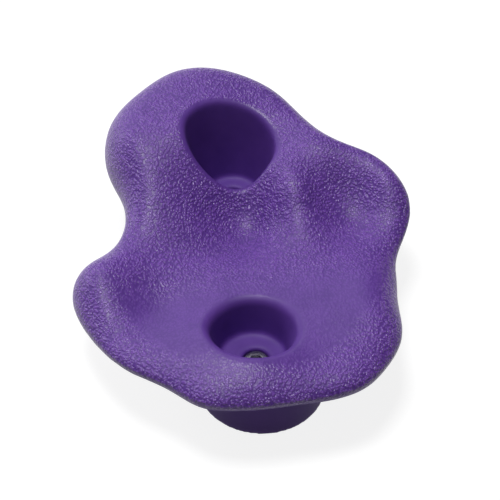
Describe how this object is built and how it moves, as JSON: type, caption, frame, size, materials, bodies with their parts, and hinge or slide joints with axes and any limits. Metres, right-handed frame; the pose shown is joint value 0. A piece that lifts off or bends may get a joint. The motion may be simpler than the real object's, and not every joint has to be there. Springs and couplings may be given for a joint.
{
  "type": "climbing hold",
  "caption": "Wavy, lobed moulded climbing hold with tapered screw cups and round feet, held to a panel by socket cap screws, lock washers and tee nuts.",
  "frame": {"origin": "on the wall plane, halfway between the two screw axes", "axes": "+Z out of the wall, +Y from the lower screw to the upper one, +X to the right as a climber sees it"},
  "size_m": [0.1452, 0.1886, 0.0769],
  "materials": {
    "purple_plastic": "leather-like pebbled grain outside, smooth cups",
    "zinc_steel": "bright zinc plating",
    "spring_steel": "zinc plated spring steel",
    "screw_steel": "zinc plated"
  },
  "bodies": {
    "hold": {"hold_shell": "purple_plastic", "upper_sleeve": "zinc_steel", "upper_tee_nut": "zinc_steel", "lower_sleeve": "zinc_steel", "lower_tee_nut": "zinc_steel"},
    "upper_washer_body": {"upper_lock_washer": "spring_steel"},
    "upper_screw_body": {"upper_screw": "screw_steel"},
    "lower_washer_body": {"lower_lock_washer": "spring_steel"},
    "lower_screw_body": {"lower_screw": "screw_steel"}
  },
  "joints": [
    {"name": "upper_screw_travel", "type": "slide", "parent": "hold", "child": "upper_washer_body", "axis": [0, 0, 1], "range_m": [0, 0.01]},
    {"name": "upper_screw_turn", "type": "hinge", "parent": "upper_washer_body", "child": "upper_screw_body", "pos_m": [0, 0.049, 0.011], "axis": [0, 0, 1], "range_deg": [0, 3600]},
    {"name": "lower_screw_travel", "type": "slide", "parent": "hold", "child": "lower_washer_body", "axis": [0, 0, 1], "range_m": [0, 0.01]},
    {"name": "lower_screw_turn", "type": "hinge", "parent": "lower_washer_body", "child": "lower_screw_body", "pos_m": [0, -0.049, 0.011], "axis": [0, 0, 1], "range_deg": [0, 3600]}
  ]
}
